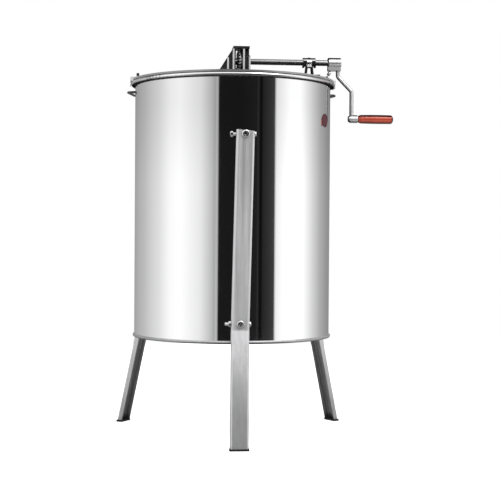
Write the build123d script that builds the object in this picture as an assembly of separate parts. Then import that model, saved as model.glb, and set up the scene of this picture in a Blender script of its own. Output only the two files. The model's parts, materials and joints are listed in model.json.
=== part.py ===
from build123d import *
import math
import os

# A manual honey extractor: a drum on three legs, a wire cage that spins inside it, and a hand crank
# that turns the cage through a bevel gear pair. Millimetres. The origin is on the floor under the
# drum's axis, +Z is up, +X runs along the crank shaft to the crank, and the front leg is at -Y.

# Drum
DRUM_R = 235.0
WALL = 1.2
DRUM_BOTTOM = 228.0
RIM_R = 240.0
RIM_WIRE_R = 5.0
RIM_Z = 832.0
RIM_TOP = RIM_Z + RIM_WIRE_R
SEAM_HEIGHT = 7.0
SEAM_PROUD = 3.5
FLOOR_EDGE_Z = 236.0
FLOOR_CENTRE_Z = 260.0
FLOOR_FLAT_R = 45.0
INNER_R = DRUM_R - WALL

# Side handles
HANDLE_Z = 814.0
HANDLE_ROD_R = 3.0
HANDLE_ANGLES = (13.0, 167.0)

# Label
LABEL_Z = 742.0
LABEL_ANGLE = -27.5
LABEL_RADII = (16.0, 20.5)

# Legs
LEG_ANGLES = (-90, 27.0, 150)
LEG_NAMES = ("front", "right", "left")
LEG_LEANS = (0.0214, 0.0, 0.0)
LEAN_PIVOT_Z = 240.0
LEG_WIDTH = 41.0
LEG_DEPTH = 14.3
LEG_SHEET = 2.0
LEG_CORNER = 6.0
LEG_FACE_R = 249.5
LEG_TOP = 708.0
LEG_BEND_Z = 260.0
LEG_SPLAY = 13.0
LEG_TOP_CUT = 5.5
FOOT_HEIGHT = 4.5
FOOT_LIP = 1.5
LEG_BOLT_Z = (698.0, 273.0)
LEG_SCREW_R = 3.0
LEG_SCREW_HEAD_R = 9.0
LUG_HALF_WIDTH = 11.0
LUG_HALF_HEIGHT = 8.0
CROSS_BOLT_R = 3.0
CROSS_BOLT_AT = 240.0
CROSS_NUT_SPOTS = (-33.5, -26.2)
CROSS_NUT = 5.4
HEAD_GAP = 0.2

# Crossbar over the drum mouth
BAR_HALF_LENGTH = 247.2
BAR_HALF_WIDTH = 25.0
BAR_SHEET = 3.0
BAR_TOP = 849.0
BAR_TAB_LOW = 828.0
HOLD_DOWN_X = 229.0
HOLD_DOWN_R = 2.2

# Lids
LID_R = 243.0
LID_EDGE_Y = 34.0
LID_SHEET = 4.5
LID_GAP = 0.2
HINGE_Y = 31.0
HINGE_Z = 846.0
HINGE_BARREL_R = 4.0
HINGE_PIN_R = 1.5
HINGE_XS = (-120.0, 120.0)
HINGE_HALF = 15.0
KNUCKLE_HALF = 6.0

# Shafts and bevel gears
RUNNING_GAP = 0.05
CRANK_Z = 891.0
CRANK_SHAFT_R = 7.0
CAGE_SHAFT_R = 8.0
GEAR_MODULE = 2.5
GEAR_TEETH = 22
PINION_TEETH = 11
GEAR_FACE = 10.0
GEAR_R = GEAR_MODULE * GEAR_TEETH / 2
PINION_R = GEAR_MODULE * PINION_TEETH / 2
CONE_LENGTH = math.hypot(GEAR_R, PINION_R)
PINION_CONE = math.degrees(math.atan2(PINION_R, GEAR_R))
GEAR_CONE = 90.0 - PINION_CONE

# Gear yoke
YOKE_HALF_WIDTH = 25.0
YOKE_LEFT = -36.0
YOKE_RIGHT = 38.0
YOKE_BASE_END = 41.0
YOKE_TOP = 925.0
YOKE_BRIDGE = 5.2
YOKE_BASE_TOP = 857.0
YOKE_CHEEKS = ((-1.0, 3.0), (22.4, 27.0))
YOKE_RIBS = ((-16.3, -12.3, 897.5), (-3.0, 1.0, 918.0), (22.0, 26.0, 918.0), (36.0, 40.0, 900.0))
YOKE_RIB_PROUD = 1.5
YOKE_REAR_FLANGE = 5.2
YOKE_BOLTS = ((-28.0, 14.0), (-28.0, -14.0), (36.0, 16.0), (36.0, -16.0))

# Pillow block
PILLOW_X = 185.0
PILLOW_HALF = 15.0
PILLOW_R = 9.6
CRANK_BUSH_R = 8.6
PILLOW_BOLT_X = (163.0, 207.0)

# Crank
HUB_START = 231.0
HUB_END = 263.0
HUB_R = 13.0
ARM_R = 5.0
ARM_UPPER_X = 256.0
ARM_LOWER_X = 290.0
GRIP_Z = 756.0
EYE_START = 285.0
EYE_R = 9.5
GRIP_START = 305.6
GRIP_END = 393.0
GRIP_R = 11.0
SPINDLE_R = 4.0

# Cage
CAGE_BOTTOM = 300.0
CAGE_TOP = 790.0
CAGE_RING_R = 216.0
CAGE_RING_SHEET = 3.0
CAGE_RING_HEIGHT = 14.0
POST_R = 4.0
POST_APOTHEM = 170.0
POST_SPREAD = 128.5
GUIDE_APOTHEM = 122.0
GUIDE_SPREAD = 92.0
GUIDE_R = 3.0
SLOT_ANGLES = (-90, 30, 150)
SLOT_NAMES = ("front", "right", "left")
SCREEN_SHEET = 2.0
SCREEN_BORDER = 8.0
SCREEN_CELLS = (9, 17)
SCREEN_BAR = 3.0
CAGE_HUB_R = 18.0

# Honey gate
GATE_Z = 267.0
GATE_BORE_R = 19.0
GATE_SPOUT_R = 23.0
GATE_FLANGE_R = 31.0
GASKET = 2.0
GATE_FACE_Y = 283.0
GATE_PLATE = 3.0
GATE_PIVOT_X = -33.0
GATE_PIN_R = 4.0


def save(name, *shapes):
    """Write one node: its solids, as one shape."""
    solids = [solid for shape in shapes for solid in shape.solids()]
    export_step(solids[0] if len(solids) == 1 else Compound(solids), f"parts/{name}.step")


def block(x0, x1, y0, y1, z0, z1):
    return Pos((x0 + x1) / 2, (y0 + y1) / 2, (z0 + z1) / 2) * Box(x1 - x0, y1 - y0, z1 - z0)


def rod(radius, start, end):
    """A round bar between two points."""
    run = Vector(*end) - Vector(*start)
    plane = Plane(origin=start, z_dir=run)
    return plane * Cylinder(radius, run.length, align=(Align.CENTER, Align.CENTER, Align.MIN))


def tube(outer, inner, start, end):
    return rod(outer, start, end) - rod(inner, start, end)


def hexagon(across_flats, start, end):
    """A hexagonal prism between two points."""
    run = Vector(*end) - Vector(*start)
    plane = Plane(origin=start, z_dir=run)
    return plane * extrude(RegularPolygon(across_flats / 2, 6, major_radius=False), run.length)


def around(angle, shape):
    return Rot(0, 0, angle) * shape


def wire(radius, points, bend):
    """A round bar that follows a bent path."""
    path = FilletPolyline(*points, radius=bend)
    start = Plane(origin=path @ 0, z_dir=path % 0)
    return sweep(start * Circle(radius), path=path)


# ---- drum -------------------------------------------------------------------------------------


def drum_wall():
    wall = tube(DRUM_R, INNER_R, (0, 0, DRUM_BOTTOM), (0, 0, RIM_Z - RIM_WIRE_R))
    return wall - rod(GATE_BORE_R, (0, 200, GATE_Z), (0, 260, GATE_Z))


def rim_hoop():
    """The rolled edge: a round bead turned outwards on top of the wall."""
    bead = Torus(RIM_R, RIM_WIRE_R)
    band = tube(DRUM_R + 1.5, INNER_R, (0, 0, -RIM_WIRE_R), (0, 0, RIM_WIRE_R - 1))
    return Pos(0, 0, RIM_Z) * (bead + band)


def bottom_seam():
    """The folded seam that joins wall and floor."""
    outer = DRUM_R + SEAM_PROUD
    top = DRUM_BOTTOM + SEAM_HEIGHT
    outline = Polyline(
        (DRUM_R, DRUM_BOTTOM),
        (outer - 1.5, DRUM_BOTTOM),
        (outer, DRUM_BOTTOM + 1.5),
        (outer, top - 2),
        (outer - 2, top),
        (DRUM_R, top),
        close=True,
    )
    return revolve(Plane.XZ * make_face(outline), Axis.Z)


def drum_floor():
    """A shallow cone, high in the middle, so that honey runs to the gate."""
    outline = Polyline(
        (0, FLOOR_CENTRE_Z),
        (FLOOR_FLAT_R, FLOOR_CENTRE_Z),
        (INNER_R - WALL, FLOOR_EDGE_Z),
        (INNER_R - WALL, DRUM_BOTTOM),
        (INNER_R, DRUM_BOTTOM),
        (INNER_R, FLOOR_EDGE_Z + WALL),
        (FLOOR_FLAT_R, FLOOR_CENTRE_Z + WALL),
        (0, FLOOR_CENTRE_Z + WALL),
        close=True,
    )
    return revolve(Plane.XZ * make_face(outline), Axis.Z)


def floor_brace():
    """A bar under the floor that carries the bottom bearing."""
    top = FLOOR_CENTRE_Z
    web = block(-38, 38, -20, 20, top - 8, top)
    arms = block(-232, 232, -12, 12, DRUM_BOTTOM + 1, DRUM_BOTTOM + 5)
    post = rod(14, (0, 0, DRUM_BOTTOM + 5), (0, 0, top - 8))
    return web + arms + post


def bearing_cup():
    """The seat of the cage shaft, on the middle of the floor."""
    base = FLOOR_CENTRE_Z + WALL
    cup = rod(20, (0, 0, base), (0, 0, base + 30)) + rod(32, (0, 0, base), (0, 0, base + 4))
    return cup - rod(13, (0, 0, base + 6), (0, 0, base + 31))


def bottom_bush():
    base = FLOOR_CENTRE_Z + WALL + 6
    bore = CAGE_SHAFT_R + RUNNING_GAP
    return tube(13, bore, (0, 0, base + 8), (0, 0, base + 24))


def thrust_ball():
    """The steel ball that the cage shaft stands on."""
    return Pos(0, 0, FLOOR_CENTRE_Z + WALL + 6 + 6) * Sphere(6)


def label():
    """A plain label on the drum, with no lettering."""
    skin = tube(DRUM_R + 0.4, DRUM_R, (0, 0, 700), (0, 0, 800))
    outline = Plane(origin=(200, 0, LABEL_Z), z_dir=(1, 0, 0)) * Ellipse(*LABEL_RADII)
    return around(LABEL_ANGLE, skin & extrude(outline, 60))


def side_handle():
    """A rod loop that is welded to the wall, used to lift the drum."""
    z, reach, half = HANDLE_Z, DRUM_R + 16, 42
    loop = wire(HANDLE_ROD_R, [(222, -half, z), (reach, -half, z), (reach, half, z), (222, half, z)], 11)
    return loop - rod(DRUM_R, (0, 0, z - 20), (0, 0, z + 15))


# ---- legs -------------------------------------------------------------------------------------


def leg_section():
    """A channel, open towards the drum, with rounded outer corners."""
    middle = LEG_FACE_R - LEG_DEPTH / 2
    outer = Pos(middle, 0) * Rectangle(LEG_DEPTH, LEG_WIDTH)
    outer = fillet(outer.vertices().group_by(Axis.X)[-1], LEG_CORNER)
    hollow = Pos(middle - LEG_SHEET, 0) * Rectangle(LEG_DEPTH, LEG_WIDTH - 2 * LEG_SHEET)
    hollow = fillet(hollow.vertices().group_by(Axis.X)[-1], LEG_CORNER - LEG_SHEET)
    return Pos(0, 0, LEG_BEND_Z) * (outer - hollow)


def sideways(lean, height):
    return lean * (height - LEAN_PIVOT_Z)


def leg(lean):
    """A leg that stands slightly askew: lean is its sideways run for each millimetre of height."""
    drop = LEG_BEND_Z - FOOT_HEIGHT
    section = Pos(0, sideways(lean, LEG_BEND_Z), 0) * leg_section()
    rise = Vector(0, lean, 1)
    run = Vector(math.tan(math.radians(LEG_SPLAY)), -lean, -1)
    body = extrude(section, (LEG_TOP - LEG_BEND_Z) * rise.length, dir=rise.normalized())
    body += extrude(section, drop * run.length, dir=run.normalized())
    for height in LEG_BOLT_Z:
        y = sideways(lean, height)
        body -= rod(LEG_SCREW_R + 0.3, (LEG_FACE_R - 5, y, height), (LEG_FACE_R + 5, y, height))
        body -= rod(CROSS_BOLT_R + 0.3, (CROSS_BOLT_AT, y - 30, height), (CROSS_BOLT_AT, y + 30, height))
    waste = Box(80, 140, 20, align=(Align.CENTER, Align.CENTER, Align.MIN))
    corner = (LEG_FACE_R, sideways(lean, LEG_TOP) - LEG_WIDTH / 2, LEG_TOP)
    return body - Pos(*corner) * Rot(-LEG_TOP_CUT, 0, 0) * waste


def foot(lean):
    """A rubber sole that the leg stands on."""
    width, depth = LEG_WIDTH + 2 * FOOT_LIP, LEG_DEPTH + 2 * FOOT_LIP
    sole = Box(depth, width, FOOT_HEIGHT, align=(Align.CENTER, Align.CENTER, Align.MIN))
    sole = fillet(sole.edges().filter_by(Axis.Z), 3)
    middle = LEG_FACE_R - LEG_DEPTH / 2 + (LEG_BEND_Z - FOOT_HEIGHT) * math.tan(math.radians(LEG_SPLAY))
    return Pos(middle, sideways(lean, FOOT_HEIGHT), 0) * sole


def leg_screw(height):
    """Button-head socket screw through the leg's face into its lug."""
    face = LEG_FACE_R
    head = rod(LEG_SCREW_HEAD_R, (face, 0, height), (face + 4, 0, height))
    head = fillet(head.edges().filter_by(GeomType.CIRCLE).sort_by(Axis.X)[-1], 2.8)
    head -= hexagon(7.5, (face + 1, 0, height), (face + 5, 0, height))
    return head + rod(LEG_SCREW_R, (face - 5, 0, height), (face, 0, height))


def leg_lug(height):
    """A block welded to the wall inside the leg, drilled for the screw and the cross bolt."""
    half_w, half_h = LUG_HALF_WIDTH, LUG_HALF_HEIGHT
    front = LEG_FACE_R - LEG_SHEET
    lug = block(DRUM_R - 2, front, -half_w, half_w, height - half_h, height + half_h)
    lug -= rod(LEG_SCREW_R, (front - 3, 0, height), (front + 1, 0, height))
    return lug - rod(CROSS_BOLT_R, (CROSS_BOLT_AT, -20, height), (CROSS_BOLT_AT, 20, height))


def cross_bolt(height):
    """A bolt through both flanges of the leg and the lug between them."""
    x, side = CROSS_BOLT_AT, LEG_WIDTH / 2
    head = rod(5.2, (x, side + HEAD_GAP, height), (x, side + 3.6, height))
    head = fillet(head.edges().filter_by(GeomType.CIRCLE).sort_by(Axis.Y)[-1], 1.6)
    return head + rod(CROSS_BOLT_R, (x, CROSS_NUT_SPOTS[0] - 1, height), (x, side, height))


def cross_nut(height, start):
    x = CROSS_BOLT_AT
    nut = hexagon(10, (x, start, height), (x, start + CROSS_NUT, height))
    return nut - rod(CROSS_BOLT_R, (x, start - 1, height), (x, start + 10, height))


# ---- crossbar and what stands on it -----------------------------------------------------------


def crossbar():
    """An inverted channel across the drum mouth, with tabs that hook over the rim."""
    half = BAR_HALF_WIDTH
    bar = block(-BAR_HALF_LENGTH, BAR_HALF_LENGTH, -half, half, RIM_TOP, BAR_TOP)
    bar -= block(-300, 300, -half + BAR_SHEET, half - BAR_SHEET, RIM_TOP - 1, BAR_TOP - BAR_SHEET)
    bar = fillet(bar.edges().filter_by(Axis.X).group_by(Axis.Z)[-1], 2.5)
    for side in (-1, 1):
        outside = side * BAR_HALF_LENGTH
        inside = side * (BAR_HALF_LENGTH - 2)
        left, right = min(outside, inside), max(outside, inside)
        bar += block(left, right, -20, 20, BAR_TAB_LOW, BAR_TOP - BAR_SHEET)
        bar -= rod(HOLD_DOWN_R + 0.2, (side * HOLD_DOWN_X, 0, 820), (side * HOLD_DOWN_X, 0, 860))
    for x in PILLOW_BOLT_X:
        bar -= rod(3.2, (x, 0, 840), (x, 0, 860))
    for x, y in YOKE_BOLTS:
        bar -= rod(3.2, (x, y, 840), (x, y, 860))
    return bar - rod(11, (0, 0, 840), (0, 0, 860))


def hold_down_bracket():
    """An angle on the inside of the wall that the crossbar is bolted down to."""
    shelf = block(208, 232.7, -18, 18, 828, 830.5)
    back = block(231.2, 232.7, -18, 18, 802, 830.5)
    return shelf + back - rod(HOLD_DOWN_R, (HOLD_DOWN_X, 0, 820), (HOLD_DOWN_X, 0, 860))


def hold_down_bolt():
    """A tall cap screw that threads into the bracket's shelf."""
    x = HOLD_DOWN_X
    head = rod(3.5, (x, 0, BAR_TOP), (x, 0, BAR_TOP + 10))
    head = fillet(head.edges().filter_by(GeomType.CIRCLE).sort_by(Axis.Z)[-1], 1.8)
    return head + rod(HOLD_DOWN_R, (x, 0, 822), (x, 0, BAR_TOP))


def gear_yoke():
    """The casting that holds both gears: base, two cheeks, a bridge, a sloping tail and ribs."""
    half, base = YOKE_HALF_WIDTH, YOKE_BASE_TOP
    under = YOKE_TOP - YOKE_BRIDGE
    (left_in, left_out), (right_in, right_out) = YOKE_CHEEKS
    yoke = block(YOKE_LEFT, YOKE_BASE_END, -half, half, BAR_TOP, base)
    yoke += block(left_in, YOKE_RIGHT, -half, half, under, YOKE_TOP)
    yoke += block(left_in, left_out, -half, half, base, under)
    yoke += block(right_in, right_out, -half, half, base, under)
    yoke += block(right_out, YOKE_RIGHT, -10, 10, base, under)
    yoke += rod(15, (right_out, 0, CRANK_Z), (YOKE_BASE_END, 0, CRANK_Z))
    yoke += rod(12, (-7, 0, CRANK_Z), (left_out, 0, CRANK_Z))
    yoke += block(left_out, left_out + YOKE_REAR_FLANGE, half - 5, half, base, under)
    yoke += block(right_in - 3.6, right_in, half - 5, half, base, under)
    slope_low, slope_high = (-34, 869), (left_in - 1, under)
    tail = make_face(Polyline((YOKE_LEFT, base), slope_low, slope_high, (left_in, base), close=True))
    for side in (-1, 1):
        cheek = Plane(origin=(0, side * (half - 2), 0), x_dir=(1, 0, 0), z_dir=(0, -1, 0))
        yoke += extrude(cheek * tail, 2, both=True)
        near, far = sorted((side * (half - 3), side * half))
        yoke += block(right_out, YOKE_RIBS[-1][1], near, far, base, YOKE_RIBS[-1][2])
        face, proud = sorted((side * (half - 1), side * (half + YOKE_RIB_PROUD)))
        for start, end, top in YOKE_RIBS:
            yoke += block(start, end, face, proud, base, top)
    skin = make_face(Polyline(slope_low, slope_high, (left_in - 1, under - 7), (-31, 867), close=True))
    middle = Plane(origin=(0, 0, 0), x_dir=(1, 0, 0), z_dir=(0, -1, 0))
    yoke += extrude(middle * skin, half - 2, both=True)
    yoke -= block(left_in - 1, left_out + 1, -15, 15, base - 0.01, 865)
    yoke -= rod(18, (left_in, 0, 860), (left_out, 0, 860))
    yoke -= rod(CRANK_BUSH_R, (-10, 0, CRANK_Z), (50, 0, CRANK_Z))
    yoke -= rod(11, (0, 0, 840), (0, 0, 860))
    for x, y in YOKE_BOLTS:
        yoke -= rod(3.2, (x, y, 840), (x, y, 860))
    return yoke


def bearing_bolt(x, y):
    """One of the bolts that hold the yoke and the pillow block down on the crossbar."""
    head = hexagon(10, (x, y, YOKE_BASE_TOP), (x, y, YOKE_BASE_TOP + 5.5))
    return head + rod(3, (x, y, 840), (x, y, YOKE_BASE_TOP))


def bar_nut(x, y):
    """A nut inside the crossbar, under its top."""
    underside = BAR_TOP - BAR_SHEET
    nut = hexagon(10, (x, y, underside - 5), (x, y, underside))
    return nut - rod(3, (x, y, 830), (x, y, 860))


def top_bush():
    """The flanged bush that guides the top of the cage shaft."""
    underside = BAR_TOP - BAR_SHEET
    bush = rod(11, (0, 0, underside), (0, 0, YOKE_BASE_TOP))
    bush += rod(15, (0, 0, underside - 4), (0, 0, underside))
    return bush - rod(CAGE_SHAFT_R + RUNNING_GAP, (0, 0, 840), (0, 0, 860))


def crank_bush(start, end):
    return tube(CRANK_BUSH_R, CRANK_SHAFT_R + RUNNING_GAP, (start, 0, CRANK_Z), (end, 0, CRANK_Z))


def pillow_block():
    """The outer bearing of the crank shaft: base plate, two splayed legs and a round housing."""
    x, base = PILLOW_X, YOKE_BASE_TOP
    plate = block(x - 28, x + 28, -16, 16, BAR_TOP, base)
    plate = fillet(plate.edges().filter_by(Axis.Z), 6)
    legs = loft([Pos(x, 0, base) * Rectangle(22, 22), Pos(x, 0, CRANK_Z - 8) * Rectangle(16, 18)])
    legs -= loft([Pos(x, 0, base) * Rectangle(14, 40), Pos(x, 0, CRANK_Z - 12) * Rectangle(8, 40)])
    housing = rod(PILLOW_R, (x - PILLOW_HALF, 0, CRANK_Z), (x + PILLOW_HALF, 0, CRANK_Z))
    pillow = plate + legs + housing
    for side in (-1, 1):
        near, far = sorted((x + side * (PILLOW_HALF - 3), x + side * (PILLOW_HALF + 1)))
        pillow += block(near, far, -7, 7, CRANK_Z - 12, CRANK_Z - 7)
    pillow -= rod(CRANK_BUSH_R, (x - 20, 0, CRANK_Z), (x + 20, 0, CRANK_Z))
    for bolt_x in PILLOW_BOLT_X:
        pillow -= rod(3.2, (bolt_x, 0, 840), (bolt_x, 0, 860))
    return pillow


def pillow_cap():
    """A thin strap over the housing, with an oil cup in the middle."""
    x, low = PILLOW_X, CRANK_Z + PILLOW_R
    strap = block(x - 15.5, x + 15.5, -5, 5, low, low + 1.4)
    return strap + rod(3, (x, 0, low), (x, 0, low + 2.8))


# ---- lids -------------------------------------------------------------------------------------


def lid(side):
    """A half-moon sheet that lies on the rim and swings up about its straight edge."""
    low = RIM_TOP + LID_GAP
    disc = rod(LID_R, (0, 0, low), (0, 0, low + LID_SHEET))
    keep = block(-300, 300, LID_EDGE_Y, 300, low - 1, low + LID_SHEET + 1)
    return Rot(0, 0, 0 if side > 0 else 180) * (disc & keep)


def lid_leaf(x):
    """The moving hinge leaf, for the rear side."""
    low = RIM_TOP + LID_GAP + LID_SHEET
    plate = block(x - 14, x + 14, LID_EDGE_Y, LID_EDGE_Y + 24, low, low + 1.5)
    neck = block(x - KNUCKLE_HALF, x + KNUCKLE_HALF, HINGE_Y, LID_EDGE_Y + 3, low, low + 2.5)
    barrel = rod(HINGE_BARREL_R, (x - KNUCKLE_HALF, HINGE_Y, HINGE_Z), (x + KNUCKLE_HALF, HINGE_Y, HINGE_Z))
    bore = rod(HINGE_PIN_R + RUNNING_GAP, (x - 20, HINGE_Y, HINGE_Z), (x + 20, HINGE_Y, HINGE_Z))
    return plate + neck + barrel - bore


def fixed_leaf(x):
    """The hinge leaf on the crossbar's flank, for the rear side."""
    wall = BAR_HALF_WIDTH
    leaf = block(x - HINGE_HALF, x + HINGE_HALF, wall, wall + 1.5, 838, 849)
    for side in (-1, 1):
        a, b = sorted((x + side * (KNUCKLE_HALF + 0.3), x + side * HINGE_HALF))
        leaf += rod(HINGE_BARREL_R, (a, HINGE_Y, HINGE_Z), (b, HINGE_Y, HINGE_Z))
        leaf += block(a, b, wall, HINGE_Y, HINGE_Z - 2, HINGE_Z + 2)
    return leaf - rod(HINGE_PIN_R, (x - 20, HINGE_Y, HINGE_Z), (x + 20, HINGE_Y, HINGE_Z))


def hinge_pin(x):
    return rod(HINGE_PIN_R, (x - HINGE_HALF, HINGE_Y, HINGE_Z), (x + HINGE_HALF, HINGE_Y, HINGE_Z))


# ---- gears ------------------------------------------------------------------------------------


def bevel_gear(teeth, cone, bore, hub_r, hub_length):
    """A bevel gear about Z with its apex at the origin; it opens towards +Z."""
    angle = math.radians(cone)
    along = Vector(math.sin(angle), 0, math.cos(angle))
    out = Vector(math.cos(angle), 0, -math.sin(angle))
    tooth_top = 0.75 * GEAR_MODULE
    tooth_root = 1.25 * GEAR_MODULE
    small = CONE_LENGTH - GEAR_FACE

    def at(distance, height):
        point = along * distance + out * (height * distance / CONE_LENGTH)
        return (point.X, point.Z)

    big_root = at(CONE_LENGTH, -tooth_root)
    small_root = at(small, -tooth_root)
    back = big_root[1] + hub_length
    outline = Polyline(
        (0, small_root[1]),
        small_root,
        big_root,
        (hub_r, big_root[1] + 2),
        (hub_r, back),
        (0, back),
        close=True,
    )
    gear = revolve(Plane.XZ * make_face(outline), Axis.Z)

    def tooth_end(distance):
        scale = distance / CONE_LENGTH
        plane = Plane(origin=along * distance, x_dir=(0, 1, 0), z_dir=along)
        if plane.y_dir.dot(out) < 0:
            plane = Plane(origin=along * distance, x_dir=(0, -1, 0), z_dir=along)
        half_root, half_top = 2.3 * scale, 0.75 * scale
        low, high = -(tooth_root + 0.7) * scale, tooth_top * scale
        left, right = [(-half_root, low), (-half_top, high)], [(half_top, high), (half_root, low)]
        return plane * make_face(Polyline(*left, *right, close=True))

    tooth = loft([tooth_end(small), tooth_end(CONE_LENGTH)], ruled=True)
    gear += [around(360 * i / teeth, tooth) for i in range(teeth)]
    return gear - Pos(0, 0, CONE_LENGTH / 2) * Cylinder(bore, 3 * CONE_LENGTH)


def drive_gear():
    """The large gear on the crank shaft, with a gap between teeth at its lowest point."""
    gear = bevel_gear(GEAR_TEETH, GEAR_CONE, CRANK_SHAFT_R, 14, 5.4)
    gear = around(180 / GEAR_TEETH, gear)
    return Pos(0, 0, CRANK_Z) * Rot(0, 90, 0) * gear


def pinion():
    """The small gear on top of the cage shaft, with a tooth towards +X."""
    gear = bevel_gear(PINION_TEETH, PINION_CONE, CAGE_SHAFT_R, 12.5, 4)
    return Pos(0, 0, CRANK_Z) * Rot(180, 0, 0) * gear


# ---- crank ------------------------------------------------------------------------------------


def crank_shaft():
    shaft = rod(CRANK_SHAFT_R, (-10, 0, CRANK_Z), (HUB_END - 3, 0, CRANK_Z))
    return chamfer(shaft.edges().filter_by(GeomType.CIRCLE), 1)


def retaining_ring():
    """The ring on the end of the crank shaft that keeps it from sliding out."""
    return tube(9.5, CRANK_SHAFT_R, (-8.8, 0, CRANK_Z), (-7.2, 0, CRANK_Z))


def crank_hub():
    """The clamp that holds the crank arm on the shaft."""
    hub = rod(HUB_R, (HUB_START, 0, CRANK_Z), (HUB_END, 0, CRANK_Z))
    hub = fillet(hub.edges().filter_by(GeomType.CIRCLE), 2)
    hub += block(HUB_START, HUB_END - 1, -9, 9, CRANK_Z - 19, CRANK_Z)
    hub -= rod(CRANK_SHAFT_R, (220, 0, CRANK_Z), (HUB_END - 3, 0, CRANK_Z))
    hub -= rod(ARM_R, (ARM_UPPER_X, 0, 860), (ARM_UPPER_X, 0, CRANK_Z - 10))
    return hub - rod(2.5, WING_TIP, WING_ROOT)


WING_ROOT = (243.0, 0.0, CRANK_Z - 8.0)
WING_TIP = (234.0, 0.0, CRANK_Z - 26.0)


def wing_bolt():
    """The thumb bolt that clamps the hub on the shaft."""
    shank = rod(2.5, WING_TIP, WING_ROOT)
    plane = Plane(origin=WING_TIP, x_dir=(0, 1, 0), z_dir=Vector(*WING_ROOT) - Vector(*WING_TIP))
    wings = plane * Box(22, 2.6, 8)
    wings = fillet(wings.edges().filter_by(lambda e: abs(e.length - 2.6) < 0.01), 3)
    boss = plane * Cylinder(4, 8.6)
    shaft = rod(CRANK_SHAFT_R, (220, 0, CRANK_Z), (262, 0, CRANK_Z))
    return wings + boss + shank - shaft


def crank_arm():
    """A cranked round bar with an eye at its lower end."""
    path = [
        (ARM_UPPER_X, 0, CRANK_Z - 10),
        (ARM_UPPER_X, 0, 858),
        (ARM_LOWER_X, 0, 823),
        (ARM_LOWER_X, 0, GRIP_Z + 4),
    ]
    arm = wire(ARM_R, path, 9)
    eye = rod(EYE_R, (EYE_START, 0, GRIP_Z), (GRIP_START - 0.6, 0, GRIP_Z))
    eye = fillet(eye.edges().filter_by(GeomType.CIRCLE), 1.5)
    return arm + eye - rod(SPINDLE_R, (270, 0, GRIP_Z), (320, 0, GRIP_Z))


def grip_spindle():
    """The bolt that the grip turns on, with a domed head."""
    head = rod(7.5, (EYE_START - 3.3, 0, GRIP_Z), (EYE_START, 0, GRIP_Z))
    head = fillet(head.edges().sort_by(Axis.X)[0], 2)
    return head + rod(SPINDLE_R, (EYE_START, 0, GRIP_Z), (GRIP_END - 12, 0, GRIP_Z))


def crank_grip():
    """The red hand grip: narrow at the arm, full in the middle, with a low dome at the end."""
    front, middle, back = GRIP_START + 6.5, (GRIP_START + GRIP_END) / 2, GRIP_END - 5
    edges = [
        Line((GRIP_END, 0), (GRIP_START, 0)),
        Line((GRIP_START, 0), (GRIP_START, 7.6)),
        Line((GRIP_START, 7.6), (front, 10.4)),
        Spline((front, 10.4), (middle, GRIP_R), (back, 10.6)),
        Line((back, 10.6), (GRIP_END - 2, 8.2)),
        Line((GRIP_END - 2, 8.2), (GRIP_END, 4)),
        Line((GRIP_END, 4), (GRIP_END, 0)),
    ]
    body = Pos(0, 0, GRIP_Z) * revolve(Plane.XZ * make_face(edges), Axis.X)
    return body - rod(SPINDLE_R + RUNNING_GAP, (GRIP_START - 1, 0, GRIP_Z), (GRIP_END - 11, 0, GRIP_Z))


# ---- cage -------------------------------------------------------------------------------------


def cage_shaft():
    shaft = rod(CAGE_SHAFT_R, (0, 0, FLOOR_CENTRE_Z + WALL + 18), (0, 0, 874.5))
    return chamfer(shaft.edges().filter_by(GeomType.CIRCLE), 1)


def cage_spider(low, spoke_low, spoke_angles):
    """A flat-bar hoop with a hub, three spokes and the three bars behind the frames."""
    ring_in = CAGE_RING_R - CAGE_RING_SHEET
    hoop = tube(CAGE_RING_R, ring_in, (0, 0, low), (0, 0, low + CAGE_RING_HEIGHT))
    bars = []
    for angle in SLOT_ANGLES:
        reach = math.sqrt(CAGE_RING_R**2 - (GUIDE_APOTHEM + 4) ** 2) - 1.5
        chord = block(GUIDE_APOTHEM - 3, GUIDE_APOTHEM + 3, -reach, reach, spoke_low, spoke_low + 6)
        bars.append(around(angle, chord))
    for angle in spoke_angles:
        bars.append(around(angle, block(10, CAGE_RING_R - 1, -5, 5, spoke_low, spoke_low + 6)))
    hub = rod(CAGE_HUB_R, (0, 0, spoke_low - 8), (0, 0, spoke_low + 14))
    spider = hoop + hub + bars
    return spider - rod(CAGE_SHAFT_R, (0, 0, low - 40), (0, 0, low + 60))


def cage_post(angle, side):
    """A corner post between the hoops, coped where it meets them."""
    place = (POST_APOTHEM, side * POST_SPREAD)
    return around(angle, rod(POST_R, (*place, CAGE_BOTTOM + 6), (*place, CAGE_TOP - 6)))


def guide_rod(angle, side):
    """An upright that the comb frame leans on."""
    place = (GUIDE_APOTHEM, side * GUIDE_SPREAD)
    return around(angle, rod(GUIDE_R, (*place, BOTTOM_SPOKE + 6), (*place, TOP_SPOKE)))


def screen():
    """A flat grid in front of the comb, between two posts."""
    width = 2 * (POST_SPREAD - POST_R)
    low = CAGE_BOTTOM + CAGE_RING_HEIGHT + 1
    height = CAGE_TOP - CAGE_RING_HEIGHT - 1 - low
    columns, rows = SCREEN_CELLS
    cell_w = (width - 2 * SCREEN_BORDER + SCREEN_BAR) / columns
    cell_h = (height - 2 * SCREEN_BORDER + SCREEN_BAR) / rows
    window = Rectangle(cell_w - SCREEN_BAR, cell_h - SCREEN_BAR)
    grid = Rectangle(width, height) - [at * window for at in GridLocations(cell_w, cell_h, columns, rows)]
    plane = Plane(origin=(POST_APOTHEM - 1, 0, low + height / 2), x_dir=(0, 1, 0), z_dir=(1, 0, 0))
    return plane * extrude(grid, SCREEN_SHEET)


BOTTOM_SPOKE = CAGE_BOTTOM + 2
TOP_SPOKE = CAGE_TOP - 9


# ---- honey gate -------------------------------------------------------------------------------


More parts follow.
